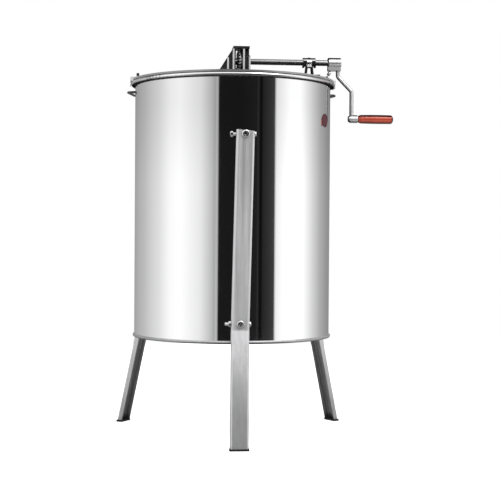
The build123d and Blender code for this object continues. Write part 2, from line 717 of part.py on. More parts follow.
def gate_body():
    """The outlet: a saddle flange, a short spout and a flat face that the plate slides on."""
    z = GATE_Z
    flange = rod(GATE_FLANGE_R, (0, 210, z), (0, 243, z)) - rod(DRUM_R + GASKET, (0, 0, 200), (0, 0, 330))
    spout = rod(GATE_SPOUT_R, (0, 236, z), (0, GATE_FACE_Y, z))
    face = rod(26, (0, GATE_FACE_Y - 6, z), (0, GATE_FACE_Y, z))
    ear = rod(9, (GATE_PIVOT_X, GATE_FACE_Y - 6, z), (GATE_PIVOT_X, GATE_FACE_Y, z))
    ear += block(GATE_PIVOT_X, 0, GATE_FACE_Y - 6, GATE_FACE_Y, z - 9, z + 9)
    body = flange + (spout + face + ear - rod(DRUM_R + GASKET, (0, 0, 200), (0, 0, 330)))
    body -= rod(GATE_BORE_R, (0, 200, z), (0, 300, z))
    return body - rod(GATE_PIN_R, (GATE_PIVOT_X, 260, z), (GATE_PIVOT_X, 300, z))


def gate_gasket():
    ring = tube(GATE_FLANGE_R - 1, GATE_BORE_R, (0, 210, GATE_Z), (0, 245, GATE_Z))
    return ring & tube(DRUM_R + GASKET, DRUM_R, (0, 0, 200), (0, 0, 330))


def gate_plate():
    """The plate that closes the spout and swings up about its bolt."""
    y, z = GATE_FACE_Y + 0.1, GATE_Z
    plate = rod(24, (0, y, z), (0, y + GATE_PLATE, z))
    plate += rod(10, (GATE_PIVOT_X, y, z), (GATE_PIVOT_X, y + GATE_PLATE, z))
    plate += block(GATE_PIVOT_X, 0, y, y + GATE_PLATE, z - 10, z + 10)
    plate += block(14, 44, y, y + GATE_PLATE, z - 6, z + 6)
    plate += rod(5, (36, y + GATE_PLATE, z), (36, y + GATE_PLATE + 12, z))
    return plate - rod(GATE_PIN_R + RUNNING_GAP, (GATE_PIVOT_X, 270, z), (GATE_PIVOT_X, 300, z))


def gate_bolt():
    x, z = GATE_PIVOT_X, GATE_Z
    head = hexagon(13, (x, GATE_FACE_Y - 11, z), (x, GATE_FACE_Y - 6, z))
    return head + rod(GATE_PIN_R, (x, GATE_FACE_Y - 6, z), (x, GATE_FACE_Y + 15, z))


def gate_wing_nut():
    x, z = GATE_PIVOT_X, GATE_Z
    low = GATE_FACE_Y + 0.1 + GATE_PLATE + 0.1
    nut = rod(7, (x, low, z), (x, low + 8, z))
    for side in (-1, 1):
        wing = Pos(x + side * 10, low + 8, z) * Box(11, 12, 2.6)
        nut += fillet(wing.edges().filter_by(Axis.Z), 3)
    return nut - rod(GATE_PIN_R + RUNNING_GAP, (x, 270, z), (x, 320, z))


# ---- write every node -------------------------------------------------------------------------

os.makedirs("parts", exist_ok=True)

save("drum_wall", drum_wall())
save("rim_hoop", rim_hoop())
save("bottom_seam", bottom_seam())
save("drum_floor", drum_floor())
save("floor_brace", floor_brace())
save("bearing_cup", bearing_cup())
save("bottom_bush", bottom_bush())
save("thrust_ball", thrust_ball())
save("label", label())
for name, angle in zip(("right", "left"), HANDLE_ANGLES):
    save(f"{name}_handle", around(angle, side_handle()))

screws, lugs, cross_bolts, nuts = [], [], [], []
for name, angle, lean in zip(LEG_NAMES, LEG_ANGLES, LEG_LEANS):
    save(f"{name}_leg", around(angle, leg(lean)))
    save(f"{name}_foot", around(angle, foot(lean)))
    for height, nut_spot in zip(LEG_BOLT_Z, CROSS_NUT_SPOTS):
        place = Rot(0, 0, angle) * Pos(0, sideways(lean, height), 0)
        screws.append(place * leg_screw(height))
        lugs.append(place * leg_lug(height) - rod(DRUM_R, (0, 0, DRUM_BOTTOM), (0, 0, RIM_Z)))
        cross_bolts.append(place * cross_bolt(height))
        nuts.append(place * cross_nut(height, nut_spot))
save("leg_screws", *screws)
save("leg_lugs", *lugs)
save("leg_cross_bolts", *cross_bolts)
save("leg_nuts", *nuts)

save("crossbar", crossbar())
both_ends = (0, 180)
save("hold_down_brackets", *[around(a, hold_down_bracket()) for a in both_ends])
save("hold_down_bolts", *[around(a, hold_down_bolt()) for a in both_ends])
save("gear_yoke", gear_yoke())
bar_bolt_places = list(YOKE_BOLTS) + [(x, 0) for x in PILLOW_BOLT_X]
save("bearing_bolts", *[bearing_bolt(x, y) for x, y in bar_bolt_places])
save("crossbar_nuts", *[bar_nut(x, y) for x, y in bar_bolt_places])
save("top_bush", top_bush())
save("inner_crank_bushes", crank_bush(-7, 3), crank_bush(YOKE_CHEEKS[1][0], YOKE_BASE_END))
save("outer_crank_bush", crank_bush(PILLOW_X - PILLOW_HALF, PILLOW_X + PILLOW_HALF))
save("pillow_block", pillow_block())
save("pillow_cap", pillow_cap())

save("rear_lid", lid(1))
save("front_lid", lid(-1))
save("rear_lid_leaves", *[lid_leaf(x) for x in HINGE_XS])
save("front_lid_leaves", *[around(180, lid_leaf(x)) for x in HINGE_XS])
save("fixed_hinge_leaves", *[around(a, fixed_leaf(x)) for a in both_ends for x in HINGE_XS])
save("hinge_pins", *[around(a, hinge_pin(x)) for a in both_ends for x in HINGE_XS])

save("crank_shaft", crank_shaft())
save("drive_gear", drive_gear())
save("retaining_ring", retaining_ring())
save("crank_hub", crank_hub())
save("wing_bolt", wing_bolt())
save("crank_arm", crank_arm())
save("grip_spindle", grip_spindle())
save("crank_grip", crank_grip())

between_slots = [angle + 60 for angle in SLOT_ANGLES]
bottom_spider = cage_spider(CAGE_BOTTOM, BOTTOM_SPOKE, SLOT_ANGLES)
top_spider = cage_spider(CAGE_TOP - CAGE_RING_HEIGHT, TOP_SPOKE, between_slots)
save("cage_shaft", cage_shaft())
save("pinion", pinion())
save("cage_bottom_spider", bottom_spider)
save("cage_top_spider", top_spider)
corners = [(angle, side) for angle in SLOT_ANGLES for side in (-1, 1)]
save("cage_posts", *[cage_post(a, s) - bottom_spider - top_spider for a, s in corners])
save("guide_rods", *[guide_rod(a, s) for a, s in corners])
for name, angle in zip(SLOT_NAMES, SLOT_ANGLES):
    save(f"{name}_screen", around(angle, screen()))

save("gate_body", gate_body())
save("gate_gasket", gate_gasket())
save("gate_plate", gate_plate())
save("gate_bolt", gate_bolt())
save("gate_wing_nut", gate_wing_nut())
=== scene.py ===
import json
import math

import bmesh
import bpy
from mathutils import Matrix, Quaternion, Vector


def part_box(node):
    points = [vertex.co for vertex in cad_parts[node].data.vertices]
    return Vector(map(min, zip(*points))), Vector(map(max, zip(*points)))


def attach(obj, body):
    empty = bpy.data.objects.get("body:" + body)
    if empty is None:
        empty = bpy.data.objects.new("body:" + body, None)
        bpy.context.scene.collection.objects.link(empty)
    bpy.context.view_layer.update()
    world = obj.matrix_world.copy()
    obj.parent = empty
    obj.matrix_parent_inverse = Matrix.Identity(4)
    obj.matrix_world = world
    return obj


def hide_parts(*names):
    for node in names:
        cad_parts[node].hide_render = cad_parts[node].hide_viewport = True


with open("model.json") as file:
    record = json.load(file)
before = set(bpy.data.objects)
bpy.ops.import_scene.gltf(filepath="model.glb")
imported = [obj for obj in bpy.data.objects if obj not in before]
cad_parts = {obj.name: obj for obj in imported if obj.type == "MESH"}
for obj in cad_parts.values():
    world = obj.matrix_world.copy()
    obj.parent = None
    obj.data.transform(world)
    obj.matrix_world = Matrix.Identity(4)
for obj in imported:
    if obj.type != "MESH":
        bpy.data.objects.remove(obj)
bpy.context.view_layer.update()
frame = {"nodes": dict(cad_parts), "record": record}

DEG = math.pi / 180

# ---- driving sizes, in metres and degrees --------------------------------------------------------

CAMERA_AZIMUTH = -4.5            # the object is turned a little towards the camera's right
CAMERA_DISTANCE = 3.055          # from the drum's axis
CAMERA_HEIGHT = 0.484
CAMERA_LENS = 90.8               # on a 36 mm sensor
CAMERA_YAW = -0.82               # aimed a little right of the axis, so that the crank fits in
CAMERA_PITCH = -0.91
CAMERA_ROLL = 0.37

FLOOR_R = 2.3
FLOOR_SIDES = 96
FLOOR_GLOW = 0.8                 # the floor's own light, so that it looks as white as the backdrop
# Painted shade on the floor round the drum, which every ray but the camera's sees:
FLOOR_TONES = (0.22, 0.75)       # what the metal sees: a shaded floor near the drum, paler farther out
FLOOR_RADII = (0.25, 1.9)

KEY_PLACE = (1.4, -1.8, 3.2)
KEY_AIM = (0, 0, 0.5)
KEY_SIZE = 1.6
KEY_POWER = 40

# Where masks begin and end on the pieces, in metres: each pair is the two ends of a soft edge.
# Apart from the lid's edge radius, these bounds place painted shade, painted highlights and painted
# reflections.
PILLOW_X = (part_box("pillow_block")[0].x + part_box("pillow_block")[1].x) / 2
PILLOW_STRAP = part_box("pillow_cap")[0].z - 0.0008
PILLOW_STRAP_FADE = 0.0008
PILLOW_LEG_HEIGHTS = (0.8572, 0.8578, 0.8795, 0.8805)
PILLOW_SHOULDER_AWAY = (0.0050, 0.0065)
PILLOW_SHOULDER_HEIGHTS = (0.8790, 0.8800)
YOKE_RIB_FACE = (0.0257, 0.0261)         # from the middle plane
YOKE_HIGHLIGHT_TOP = (0.9235, 0.9225)
SEAM_SHADE_HEIGHTS = (0.2318, 0.2300)
SEAM_MIDDLE = (0.08, 0.14)               # from the front's middle, either way
RIM_MIDDLE = (0.16, 0.06)
LID_MIDDLE = (0.10, 0.04)
LID_EDGE_R = (0.2405, 0.2415)
LEG_LOW = (0.27, 0.06)
LEG_SHADE_REACH = 0.016

SCREEN_TURNS = {"front_screen": -90, "right_screen": 30, "left_screen": 150}
MESH_PITCH = 0.0115
WIRE_R = 0.0009
WIRE_SIDES = 6
BEND_STEPS = 4                   # steps along a wire from one crossing to the next
SCREEN_BORDER = 0.008
BORDER_ROUND = 0.0004

# The studio around the drum at eye height, by the angle from the camera's side: how bright each
# wall panel is. One black flag stands beside the camera, and the rest is cloth from white to grey.
PANELS = (
    (-180, 0.27), (-152, 0.34), (-124, 0.45), (-93, 0.67), (-77, 0.86), (-63, 0.92), (-37, 0.73),
    (-24, 0.47), (-19.5, 0.34), (-17.6, 0.50), (-17.0, 0.50), (-16.4, 0.009), (10, 0.008),
    (29.2, 0.012), (29.6, 0.03), (30.6, 0.03), (31.0, 0.004), (34.5, 0.004), (35.0, 0.015),
    (42, 0.026), (49.5, 0.042), (51.2, 0.76), (57, 0.86), (70, 1.05), (85, 1.05), (97, 0.80),
    (110, 0.57), (125, 0.38), (145, 0.27), (165, 0.23), (180, 0.27),
)
GAIN_LOW, GAIN_HIGH = 1.2, 1.02  # the wall panels get brighter towards the floor
GAIN_SPAN = (0.035, 0.10)
FLAG_TOP = (0.17, 0.36)          # sines of the heights between which the flag ends
ZENITH = (0.88, 0.96)
CEILING = 0.75
SOFTBOX = 1.15
BACK_WALL = 0.30


# ---- node helpers --------------------------------------------------------------------------------


def add(tree, kind, inputs=None, **settings):
    """A new shader node. An input is a value or another node's output."""
    node = tree.nodes.new(kind)
    for name, value in settings.items():
        setattr(node, name, value)
    for key, value in (inputs or {}).items():
        if isinstance(value, bpy.types.NodeSocket):
            tree.links.new(value, node.inputs[key])
        else:
            node.inputs[key].default_value = value
    return node


def maths(tree, operation, a, b=0.0):
    return add(tree, "ShaderNodeMath", {0: a, 1: b}, operation=operation).outputs[0]


def noise(tree, scale=(1, 1, 1), size=10.0, detail=3.0, roughness=0.5):
    """Noise in the object's own coordinates, stretched by scale."""
    place = add(tree, "ShaderNodeTexCoord").outputs["Object"]
    mapped = add(tree, "ShaderNodeMapping", {"Vector": place, "Scale": scale}).outputs[0]
    inputs = {"Vector": mapped, "Scale": size, "Detail": detail, "Roughness": roughness}
    return add(tree, "ShaderNodeTexNoise", inputs).outputs["Fac"]


def between(tree, value, low, high, start=0.0, end=1.0):
    """Maps value from start..end to low..high."""
    inputs = {"Value": value, "From Min": start, "From Max": end, "To Min": low, "To Max": high}
    return add(tree, "ShaderNodeMapRange", inputs).outputs[0]


def mix(tree, share, a, b):
    made = add(tree, "ShaderNodeMix", {0: share}, data_type="RGBA")
    for socket, value in ((made.inputs[6], a), (made.inputs[7], b)):
        if isinstance(value, bpy.types.NodeSocket):
            tree.links.new(value, socket)
        else:
            socket.default_value = (*value, 1.0)
    return made.outputs[2]


def edges(tree, width):
    """1 along a piece's edges and 0 on its faces, from how far a bevelled normal leans away."""
    bent = add(tree, "ShaderNodeBevel", {"Radius": width}, samples=6).outputs[0]
    flat = add(tree, "ShaderNodeNewGeometry").outputs["Normal"]
    dot = add(tree, "ShaderNodeVectorMath", {0: bent, 1: flat}, operation="DOT_PRODUCT").outputs["Value"]
    return between(tree, dot, 1.0, 0.0, 0.75, 0.995)


def leaning(tree, axis="Z"):
    """How far the surface faces along one of the piece's own axes: 1 along it, 0 across, -1 against."""
    normal = add(tree, "ShaderNodeTexCoord").outputs["Normal"]
    return add(tree, "ShaderNodeSeparateXYZ", {0: normal}).outputs[axis]


def place(tree, axis):
    """The object coordinate along one axis, in metres."""
    spot = add(tree, "ShaderNodeTexCoord").outputs["Object"]
    return add(tree, "ShaderNodeSeparateXYZ", {0: spot}).outputs[axis]


def soft_step(tree, value, start, end):
    """0 at start and 1 at end, with a smooth middle; start may be the larger."""
    low, high = min(start, end), max(start, end)
    inputs = {"Value": value, "From Min": low, "From Max": high}
    inputs["To Min"], inputs["To Max"] = (0.0, 1.0) if start < end else (1.0, 0.0)
    return add(tree, "ShaderNodeMapRange", inputs, interpolation_type="SMOOTHSTEP").outputs[0]


def both(tree, a, b):
    return maths(tree, "MULTIPLY", a, b)


def stripe(tree, value, start, full, full_end, end):
    """1 between full and full_end, falling to 0 at start and at end."""
    return both(tree, soft_step(tree, value, start, full), soft_step(tree, value, end, full_end))


def painted_shade_mask(tree, reach):
    """1 in corners and gaps, 0 in the open, from ambient occlusion: where painted shade goes."""
    open_share = add(tree, "ShaderNodeAmbientOcclusion", {"Distance": reach}, samples=6).outputs["AO"]
    return soft_step(tree, open_share, 0.95, 0.35)


def current(socket):
    """What feeds a socket now: the linked output, or its own value."""
    if socket.links:
        return socket.links[0].from_socket
    value = socket.default_value
    return value if isinstance(value, float) else tuple(value)[:3]


def repaint(tree, shader, share, colour, roughness=None):
    """Lays another colour, and if asked another roughness, over what the shader has already."""
    base = shader.inputs["Base Color"]
    tree.links.new(mix(tree, share, current(base), colour), base)
    if roughness is not None:
        rough = shader.inputs["Roughness"]
        inputs = {0: share, 2: current(rough), 3: roughness}
        tree.links.new(add(tree, "ShaderNodeMix", inputs, data_type="FLOAT").outputs[0], rough)


def deaden(tree, shader, share):
    """Takes the shine away where share is 1, so that painted shade stays dark."""
    for key in ("Metallic", "Specular IOR Level"):
        socket = shader.inputs[key]
        inputs = {0: share, 2: current(socket), 3: 0.0}
        tree.links.new(add(tree, "ShaderNodeMix", inputs, data_type="FLOAT").outputs[0], socket)


def material(name, metallic=0.0, **inputs):
    mat = bpy.data.materials.new(name)
    mat.use_nodes = True
    tree = mat.node_tree
    shader = tree.nodes["Principled BSDF"]
    shader.inputs["Metallic"].default_value = metallic
    for key, value in inputs.items():
        socket = shader.inputs[key.replace("_", " ")]
        if isinstance(value, tuple) and len(value) == 3:
            value = (*value, 1.0)
        socket.default_value = value
    return mat, tree, shader


def bump(tree, shader, height, depth, width=0.0):
    """Bump from a 0..1 height, depth in metres; width rounds the piece's edges in shading."""
    inputs = {"Height": height, "Distance": depth, "Strength": 1.0}
    if width:
        inputs["Normal"] = add(tree, "ShaderNodeBevel", {"Radius": width}, samples=4).outputs[0]
    made = add(tree, "ShaderNodeBump", inputs)
    tree.links.new(made.outputs[0], shader.inputs["Normal"])


# ---- materials -----------------------------------------------------------------------------------


def polished(name, colour, low, high, depth=0.00001, grain=(1, 1, 1), size=60, edge=0.0004):
    """Plated or polished metal: faint haze patches, fine polish lines and softly rounded edges."""
    mat, tree, shader = material(name, 1.0)
    haze = noise(tree, size=9, detail=4)
    lines = noise(tree, scale=grain, size=size, detail=2)
    tone = between(tree, haze, 0.94, 1.0, 0.3, 0.7)
    shade = mix(tree, tone, tuple(c * 0.86 for c in colour), colour)
    tree.links.new(shade, shader.inputs["Base Color"])
    tree.links.new(between(tree, haze, low, high, 0.35, 0.65), shader.inputs["Roughness"])
    bump(tree, shader, lines, depth, edge)
    return mat, tree, shader


def brushed(name, colour, low, high, grain, depth=0.00004, size=120, edge=0.0005, worn=0.15):
    """Brushed sheet or bar: grain along one way, darker smudges and brighter edges."""
    mat, tree, shader = material(name, 1.0)
    lines = noise(tree, scale=grain, size=size, detail=4, roughness=0.6)
    smudge = noise(tree, size=14, detail=5)
    dark = tuple(c * 0.72 for c in colour)
    shade = mix(tree, between(tree, lines, 0.25, 1.0, 0.3, 0.7), dark, colour)
    shade = mix(tree, between(tree, smudge, 0.0, 0.25, 0.45, 0.75), shade, tuple(c * 0.6 for c in colour))
    bright = tuple(min(1.0, c + worn) for c in colour)
    shade = mix(tree, edges(tree, 0.0012), shade, bright)
    tree.links.new(shade, shader.inputs["Base Color"])
    tree.links.new(between(tree, lines, low, high, 0.3, 0.7), shader.inputs["Roughness"])
    bump(tree, shader, lines, depth, edge)
    return mat, tree, shader


def casting(name, colour, worn):
    """Painted casting: grainy skin, soft edges where the paint is rubbed bright."""
    mat, tree, shader = material(name, 0.2)
    skin = noise(tree, size=700, detail=4)
    patches = noise(tree, size=60, detail=4)
    mask = both(tree, edges(tree, 0.0016), between(tree, patches, 0.35, 1.0, 0.35, 0.6))
    shade = mix(tree, between(tree, patches, 0.0, 1.0, 0.3, 0.7), tuple(c * 0.6 for c in colour), colour)
    tree.links.new(mix(tree, mask, shade, worn), shader.inputs["Base Color"])
    tree.links.new(between(tree, patches, 0.32, 0.5, 0.3, 0.7), shader.inputs["Roughness"])
    bump(tree, shader, skin, 0.00012, 0.0008)
    return mat, tree, shader


def plastic(name, colour, low, high, depth, edge=0.0006, size=900):
    mat, tree, shader = material(name, 0.0, IOR=1.5)
    grain = noise(tree, size=size, detail=3)
    patches = noise(tree, size=40, detail=4)
    shade = mix(tree, between(tree, patches, 0.0, 1.0, 0.3, 0.7), tuple(c * 0.8 for c in colour), colour)
    tree.links.new(shade, shader.inputs["Base Color"])
    tree.links.new(between(tree, patches, low, high, 0.3, 0.7), shader.inputs["Roughness"])
    bump(tree, shader, grain, depth, edge)
    return mat, tree, shader


def grip_plastic(name):
    """Glossy orange-red plastic, with painted shade along the top, the underside and the ends, and a
    painted dark reflection along the middle.
    """
    mat, tree, shader = plastic(name, (0.74, 0.125, 0.07), 0.14, 0.24, 0.00002, size=300)
    up, along = leaning(tree), maths(tree, "ABSOLUTE", leaning(tree, "X"))
    repaint(tree, shader, stripe(tree, up, -0.20, -0.08, 0.02, 0.14), (0.46, 0.055, 0.03))
    top = soft_step(tree, up, 0.30, 0.62)
    repaint(tree, shader, top, (0.045, 0.004, 0.003))
    deaden(tree, shader, top)
    repaint(tree, shader, soft_step(tree, up, -0.55, -0.85), (0.14, 0.035, 0.018))
    repaint(tree, shader, soft_step(tree, along, 0.30, 0.60), (0.07, 0.008, 0.004))
    return mat, tree, shader


def clear_sheet(name):
    """Clear acrylic with fine hairline scratches and a faint grey-green body."""
    mat, tree, shader = material(name, 0.0, IOR=1.49, Transmission_Weight=1.0)
    shader.inputs["Base Color"].default_value = (0.86, 0.90, 0.89, 1.0)
    hair = noise(tree, scale=(1, 30, 1), size=60, detail=4)
    tree.links.new(between(tree, hair, 0.01, 0.06, 0.5, 0.8), shader.inputs["Roughness"])
    bump(tree, shader, hair, 0.000008, 0.0004)
    return mat, tree, shader


def drum_metal(name):
    """The wall: mirror-like, with the faintest lines up and down, and no softened edges."""
    return polished(name, (0.93, 0.93, 0.935), 0.035, 0.06, 0.000002, (1, 1, 0.02), 40, 0.0)


def rim_metal(name):
    """The rolled bead: bright, with painted shade on its underside and in the gap that the lid leaves
    above it, and a painted dark reflection across the front's middle.
    """
    mat, tree, shader = polished(name, (0.86, 0.86, 0.86), 0.14, 0.22)
    up = leaning(tree)
    middle = soft_step(tree, maths(tree, "ABSOLUTE", place(tree, "X")), *RIM_MIDDLE)
    repaint(tree, shader, soft_step(tree, up, -0.40, -0.55), (0.34, 0.34, 0.34))
    line = both(tree, stripe(tree, up, -0.52, -0.42, -0.05, 0.06), middle)
    below = soft_step(tree, up, -0.66, -0.78)
    above = soft_step(tree, up, 0.45, 0.80)
    for share in (line, below, above):
        repaint(tree, shader, share, (0.012, 0.012, 0.012))
        deaden(tree, shader, share)
    return mat, tree, shader


def seam_metal(name):
    """The folded seam: duller than the wall, with painted shade along its lower edge, darkest across the
    front's middle.
    """
    mat, tree, shader = brushed(name, (0.66, 0.66, 0.67), 0.45, 0.6, (1, 1, 1))
    seam_shade = soft_step(tree, place(tree, "Z"), *SEAM_SHADE_HEIGHTS)
    middle = between(tree, maths(tree, "ABSOLUTE", place(tree, "X")), 1.0, 0.35, *SEAM_MIDDLE)
    repaint(tree, shader, both(tree, seam_shade, middle), (0.02, 0.02, 0.02))
    return mat, tree, shader


def leg_metal(name):
    """Brushed channel, with painted dark reflection towards the foot and painted shade in its inside
    corners.
    """
    mat, tree, shader = brushed(name, (0.86, 0.86, 0.87), 0.42, 0.54, (1.0, 1.0, 0.03))
    low = between(tree, soft_step(tree, place(tree, "Z"), *LEG_LOW), 0.0, 0.7)
    level = soft_step(tree, maths(tree, "ABSOLUTE", leaning(tree, "X")), 0.55, 0.25)
    repaint(tree, shader, both(tree, low, level), (0.22, 0.22, 0.22), 0.45)
    repaint(tree, shader, painted_shade_mask(tree, LEG_SHADE_REACH), (0.15, 0.145, 0.135), 0.5)
    return mat, tree, shader


def yoke_metal(name):
    """Black casting with painted highlights on the front and back faces of its proud ribs."""
    mat, tree, shader = casting(name, (0.012, 0.012, 0.013), (0.25, 0.25, 0.25))
    across = maths(tree, "ABSOLUTE", place(tree, "Y"))
    under_top = soft_step(tree, place(tree, "Z"), *YOKE_HIGHLIGHT_TOP)
    painted_highlight = both(tree, soft_step(tree, across, *YOKE_RIB_FACE), under_top)
    repaint(tree, shader, painted_highlight, (0.80, 0.80, 0.80), 0.35)
    return mat, tree, shader


def shaft_metal(name):
    mat, tree, shader = polished(name, (0.36, 0.36, 0.36), 0.16, 0.24, 0.00001, (30, 1, 1), 80)
    # Painted shade over the underside.
    repaint(tree, shader, soft_step(tree, leaning(tree), -0.15, -0.45), (0.02, 0.02, 0.02))
    return mat, tree, shader


def pillow_metal(name):
    """Cast bearing: painted shade over its legs, shoulders and top strap, bright in the middle and on its
    plate.
    """
    mat, tree, shader = polished(name, (0.80, 0.80, 0.80), 0.2, 0.32, 0.00004, edge=0.0008)
    away = maths(tree, "ABSOLUTE", maths(tree, "SUBTRACT", place(tree, "X"), PILLOW_X))
    height = place(tree, "Z")
    legs = stripe(tree, height, *PILLOW_LEG_HEIGHTS)
    over_legs = soft_step(tree, height, *PILLOW_SHOULDER_HEIGHTS)
    shoulders = both(tree, soft_step(tree, away, *PILLOW_SHOULDER_AWAY), over_legs)
    shoulders = both(tree, shoulders, soft_step(tree, leaning(tree), 0.55, 0.35))
    strap = soft_step(tree, height, PILLOW_STRAP, PILLOW_STRAP + PILLOW_STRAP_FADE)
    for share in (legs, shoulders, strap):
        repaint(tree, shader, share, (0.02, 0.02, 0.02))
        deaden(tree, shader, share)
    return mat, tree, shader


def crank_metal(name):
    """Satin plating, with painted dark reflections on its flanks and top."""
    mat, tree, shader = polished(name, (0.84, 0.84, 0.84), 0.34, 0.44, edge=0.0008)
    along, front = leaning(tree, "X"), maths(tree, "ABSOLUTE", leaning(tree, "Y"))
    left = both(tree, soft_step(tree, along, 0.05, -0.05), soft_step(tree, front, 0.92, 0.80))
    right = both(tree, soft_step(tree, along, -0.05, 0.05), soft_step(tree, front, 0.80, 0.60))
    top = soft_step(tree, leaning(tree), 0.55, 0.74)
    for share, tone in ((left, 0.012), (right, 0.26), (top, 0.008)):
        repaint(tree, shader, share, (tone, tone, tone))
        deaden(tree, shader, share)
    return mat, tree, shader


def lid_sheet(name):
    """The clear lid; its sawn edge is frosted, with a painted dark reflection across the front's middle.
    """
    mat, tree, shader = clear_sheet(name)
    x, y = place(tree, "X"), place(tree, "Y")
    radius = maths(tree, "SQRT", maths(tree, "ADD", both(tree, x, x), both(tree, y, y)))
    level = maths(tree, "ABSOLUTE", leaning(tree))
    sawn = both(tree, soft_step(tree, radius, *LID_EDGE_R), soft_step(tree, level, 0.6, 0.4))
    middle = soft_step(tree, maths(tree, "ABSOLUTE", x), *LID_MIDDLE)
    repaint(tree, shader, sawn, mix(tree, middle, (0.34, 0.34, 0.34), (0.15, 0.15, 0.15)), 0.6)
    tree.links.new(maths(tree, "SUBTRACT", 1.0, sawn), shader.inputs["Transmission Weight"])
    return mat, tree, shader


def make_materials():
    """One material for each slot of the record, and one more for the seam."""
    along_x = (0.03, 1.0, 1.0)
    along_z = (1.0, 1.0, 0.03)
    grey = (0.66, 0.66, 0.67)
    made = {
        "drum_steel": drum_metal("drum_steel"),
        "rim_steel": rim_metal("rim_steel"),
        "seam_steel": seam_metal("seam_steel"),
        "sheet_steel": brushed("sheet_steel", grey, 0.25, 0.4, (1, 1, 1)),
        "leg_steel": leg_metal("leg_steel"),
        "bar_steel": brushed("bar_steel", (0.92, 0.92, 0.92), 0.55, 0.7, along_x),
        "rubber": plastic("rubber", (0.018, 0.018, 0.018), 0.5, 0.7, 0.00008),
        "fastener": polished("fastener", (0.82, 0.82, 0.82), 0.12, 0.22, edge=0.0005),
        "dark_fastener": casting("dark_fastener", (0.03, 0.03, 0.03), (0.3, 0.3, 0.3)),
        "cast_iron": yoke_metal("cast_iron"),
        "gear_steel": brushed("gear_steel", (0.50, 0.50, 0.51), 0.4, 0.55, (1, 1, 1), 0.00003),
        "bronze": polished("bronze", (0.60, 0.42, 0.22), 0.25, 0.4),
        "nylon": plastic("nylon", (0.80, 0.79, 0.75), 0.35, 0.5, 0.00002),
        "pillow_metal": pillow_metal("pillow_metal"),
        "chrome_rod": polished("chrome_rod", (0.10, 0.10, 0.10), 0.12, 0.2),
        "shaft_steel": shaft_metal("shaft_steel"),
        "crank_chrome": crank_metal("crank_chrome"),
        "grip_red": grip_plastic("grip_red"),
        "label_red": plastic("label_red", (0.10, 0.018, 0.030), 0.5, 0.6, 0.00001),
        "clear_lid": lid_sheet("clear_lid"),
        "hinge_steel": brushed("hinge_steel", grey, 0.22, 0.35, (1, 1, 1)),
        "cage_steel": brushed("cage_steel", (0.70, 0.70, 0.71), 0.16, 0.3, along_z),
        "screen_steel": polished("screen_steel", (0.72, 0.72, 0.72), 0.16, 0.3),
        "gate_metal": brushed("gate_metal", (0.72, 0.72, 0.72), 0.2, 0.35, (1, 1, 1)),
    }
    return {slot: parts[0] for slot, parts in made.items()}


MATERIALS = make_materials()


def dress_cad_nodes():
    """Gives every CAD node its slot's material."""
    for row in frame["record"]["subparts"]:
        node = frame["nodes"][row["node"]]
        slot = "seam_steel" if row["node"] == "bottom_seam" else row["material_slot"]
        if not node.material_slots:
            node.data.materials.append(None)
        for holder in node.material_slots:
            holder.material = MATERIALS[slot]


dress_cad_nodes()


# ---- wire cloth screens --------------------------------------------------------------------------


def wire_points(length, crossings, phase):
    """(along, off the plane) of a wire that waves from side to side.

    It is in the plane at each crossing and farthest out halfway between two crossings, so the wires
    meet at a crossing and don't pass over and under each other.
    """
    count = (crossings - 1) * BEND_STEPS
    points = []
    for i in range(count + 1):
        share = i / count
        swing = WIRE_R * math.sin(math.pi * (share * (crossings - 1) + 0.5 + phase))
        points.append((length * (share - 0.5), swing))
    return points


def add_wire(verts, faces, points, across, upright):
    """Appends one round wire. Local axes: x off the plane, y sideways, z up."""
    first = len(verts)
    for along, off in points:
        for k in range(WIRE_SIDES):
            turn = 2 * math.pi * k / WIRE_SIDES
            out, side = off + WIRE_R * math.cos(turn), across + WIRE_R * math.sin(turn)
            verts.append((out, side, along) if upright else (out, along, side))
    for i in range(len(points) - 1):
        for k in range(WIRE_SIDES):
            a, b = first + i * WIRE_SIDES + k, first + i * WIRE_SIDES + (k + 1) % WIRE_SIDES
            quad = (a, b, b + WIRE_SIDES, a + WIRE_SIDES)
            faces.append(quad if upright else quad[::-1])
    start = [first + k for k in range(WIRE_SIDES)]
    end = [first + (len(points) - 1) * WIRE_SIDES + k for k in range(WIRE_SIDES)]
    faces.append(start[::-1] if upright else start)
    faces.append(end if upright else end[::-1])


def add_border(bm, width, height, thick):
    """The flat strip round the cloth, with softened edges."""
    rims = []
    for off in (-thick / 2, thick / 2):
        for inset in (0, SCREEN_BORDER):
            w, h = width / 2 - inset, height / 2 - inset
            rims.append([bm.verts.new((off, y, z)) for y, z in ((-w, -h), (w, -h), (w, h), (-w, h))])
    back_out, back_in, front_out, front_in = rims
    made = []
    for i in range(4):
        j = (i + 1) % 4
        made.append(bm.faces.new((front_out[i], front_out[j], front_in[j], front_in[i])))
        made.append(bm.faces.new((back_out[j], back_out[i], back_in[i], back_in[j])))
        made.append(bm.faces.new((back_out[i], back_out[j], front_out[j], front_out[i])))
        made.append(bm.faces.new((back_in[j], back_in[i], front_in[i], front_in[j])))
    rim_edges = {edge for face in made for edge in face.edges if edge.calc_length() > 0.1}
    bmesh.ops.bevel(bm, geom=list(rim_edges), offset=BORDER_ROUND, segments=2, profile=0.5, affect="EDGES")


def add_cloth(mesh, width, height):
    """Waved wires both ways, into the middle of the border strip."""
    columns, rows = round(width / MESH_PITCH), round(height / MESH_PITCH)
    verts, faces = [], []
    for i in range(columns):
        across = width * ((i + 0.5) / columns - 0.5)
        add_wire(verts, faces, wire_points(height, rows + 1, i), across, True)
    for i in range(rows):
        across = height * ((i + 0.5) / rows - 0.5)
        add_wire(verts, faces, wire_points(width, columns + 1, i + 1), across, False)
    mesh.from_pydata(verts, [], faces)


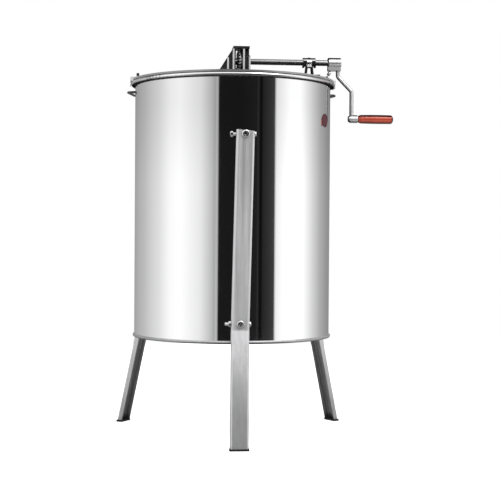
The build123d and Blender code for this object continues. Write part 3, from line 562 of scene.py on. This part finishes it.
def woven_screen(node, turn):
    """Wire cloth in a border strip, in the place of the CAD's flat grid."""
    low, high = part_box("front_screen")  # the three are alike, and this one lies along the axes
    width, height, thick = high.x - low.x, high.z - low.z, high.y - low.y
    radius = -(low.y + high.y) / 2
    mesh = bpy.data.meshes.new(node + "_mesh")
    add_cloth(mesh, width - SCREEN_BORDER, height - SCREEN_BORDER)
    bm = bmesh.new()
    bm.from_mesh(mesh)
    add_border(bm, width, height, thick)
    bmesh.ops.recalc_face_normals(bm, faces=bm.faces)
    bmesh.ops.transform(bm, matrix=Matrix.Translation((radius, 0, (low.z + high.z) / 2)), verts=bm.verts)
    bmesh.ops.transform(bm, matrix=Matrix.Rotation(turn * DEG, 4, "Z"), verts=bm.verts)
    for face in bm.faces:
        face.smooth = len(face.verts) == 4 and face.calc_area() < 0.0001
    bm.to_mesh(mesh)
    bm.free()
    mesh.materials.append(MATERIALS["screen_steel"])
    piece = bpy.data.objects.new(node + "_woven", mesh)
    bpy.context.scene.collection.objects.link(piece)
    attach(piece, "cage")
    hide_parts(node)


for screen_node, screen_turn in SCREEN_TURNS.items():
    woven_screen(screen_node, screen_turn)


# ---- studio --------------------------------------------------------------------------------------


def make_floor():
    """A plain pale floor."""
    mesh = bpy.data.meshes.new("floor")
    turns = [2 * math.pi * i / FLOOR_SIDES for i in range(FLOOR_SIDES)]
    ring = [(FLOOR_R * math.cos(turn), FLOOR_R * math.sin(turn), 0) for turn in turns]
    mesh.from_pydata(ring, [], [list(range(FLOOR_SIDES))])
    floor = bpy.data.objects.new("floor", mesh)
    bpy.context.scene.collection.objects.link(floor)
    mat, tree, shader = material("floor", 0.0, Roughness=0.9, Specular_IOR_Level=0.1)
    cloud = noise(tree, size=3, detail=2)
    x, y = place(tree, "X"), place(tree, "Y")
    radius = maths(tree, "SQRT", maths(tree, "ADD", both(tree, x, x), both(tree, y, y)))
    # Painted shade round the drum, which every ray but the camera's sees.
    pool = between(tree, radius, *FLOOR_TONES, *FLOOR_RADII)
    grey = mix(tree, pool, (0.0, 0.0, 0.0), (1.0, 1.0, 1.0))
    seen = add(tree, "ShaderNodeLightPath").outputs["Is Camera Ray"]
    pale = mix(tree, cloud, (0.93, 0.93, 0.93), (0.95, 0.95, 0.95))
    tree.links.new(mix(tree, seen, grey, pale), shader.inputs["Base Color"])
    shader.inputs["Emission Color"].default_value = (1, 1, 1, 1)
    tree.links.new(both(tree, seen, FLOOR_GLOW), shader.inputs["Emission Strength"])
    mesh.materials.append(mat)


def hang_panels(stops):
    """Puts the panels on a colour ramp that runs once round the studio."""
    for degrees, value in PANELS:
        if degrees == -180:
            stop = stops[0]
        elif degrees == 180:
            stop = stops[len(stops) - 1]
        else:
            stop = stops.new((degrees + 180) / 360)
        stop.color = (value, value, value, 1.0)


def make_world():
    """The panels, a softbox, a ceiling and a back wall, which only the camera sees as plain white."""
    world = bpy.data.worlds.new("studio")
    world.use_nodes = True
    tree = world.node_tree
    tree.nodes.clear()
    way = add(tree, "ShaderNodeTexCoord").outputs["Generated"]
    turn = -(CAMERA_AZIMUTH - 90) * DEG
    turned = add(tree, "ShaderNodeVectorRotate", {"Vector": way, "Angle": turn}, rotation_type="Z_AXIS")
    parts = add(tree, "ShaderNodeSeparateXYZ", {0: turned.outputs[0]}).outputs
    angle = maths(tree, "ARCTAN2", parts["Y"], parts["X"])
    ramp = add(tree, "ShaderNodeValToRGB", {"Fac": between(tree, angle, 0.0, 1.0, -math.pi, math.pi)})
    hang_panels(ramp.color_ramp.elements)
    gain = between(tree, parts["Z"], GAIN_LOW, GAIN_HIGH, *GAIN_SPAN)
    inputs = {0: ramp.outputs[0], "Scale": gain}
    wall = add(tree, "ShaderNodeVectorMath", inputs, operation="SCALE").outputs[0]
    above = soft_step(tree, parts["Z"], *FLAG_TOP)
    light = mix(tree, above, wall, (SOFTBOX, SOFTBOX, SOFTBOX))
    behind = soft_step(tree, parts["X"], -0.15, -0.35)
    light = mix(tree, both(tree, above, behind), light, (BACK_WALL, BACK_WALL, BACK_WALL))
    light = mix(tree, soft_step(tree, parts["Z"], *ZENITH), light, (CEILING, CEILING, CEILING))
    seen = add(tree, "ShaderNodeLightPath").outputs["Is Camera Ray"]
    shown = mix(tree, seen, light, (1.0, 1.0, 1.0))
    back = add(tree, "ShaderNodeBackground", {"Color": shown, "Strength": 1.0})
    add(tree, "ShaderNodeOutputWorld", {"Surface": back.outputs[0]})
    bpy.context.scene.world = world


def make_key_light():
    data = bpy.data.lights.new("key", "AREA")
    data.shape = "DISK"
    data.size = KEY_SIZE
    data.energy = KEY_POWER
    lamp = bpy.data.objects.new("key", data)
    lamp.location = KEY_PLACE
    lamp.rotation_mode = "QUATERNION"
    lamp.rotation_quaternion = (Vector(KEY_AIM) - Vector(KEY_PLACE)).to_track_quat("-Z", "Y")
    bpy.context.scene.collection.objects.link(lamp)


def make_camera():
    side = CAMERA_AZIMUTH * DEG
    eye = Vector((CAMERA_DISTANCE * math.sin(side), -CAMERA_DISTANCE * math.cos(side), CAMERA_HEIGHT))
    level = Vector((-eye.x, -eye.y, 0)).normalized()
    aim = Quaternion((0, 0, 1), CAMERA_YAW * DEG) @ level
    across = aim.cross(Vector((0, 0, 1)))
    aim = Quaternion(across, CAMERA_PITCH * DEG) @ aim
    data = bpy.data.cameras.new("camera")
    data.lens = CAMERA_LENS
    data.sensor_width = 36
    camera = bpy.data.objects.new("camera", data)
    camera.location = eye
    camera.rotation_mode = "QUATERNION"
    camera.rotation_quaternion = aim.to_track_quat("-Z", "Y") @ Quaternion((0, 0, 1), CAMERA_ROLL * DEG)
    bpy.context.scene.collection.objects.link(camera)
    bpy.context.scene.camera = camera


make_floor()
make_world()
make_key_light()
make_camera()
bpy.context.scene.view_settings.view_transform = "Standard"
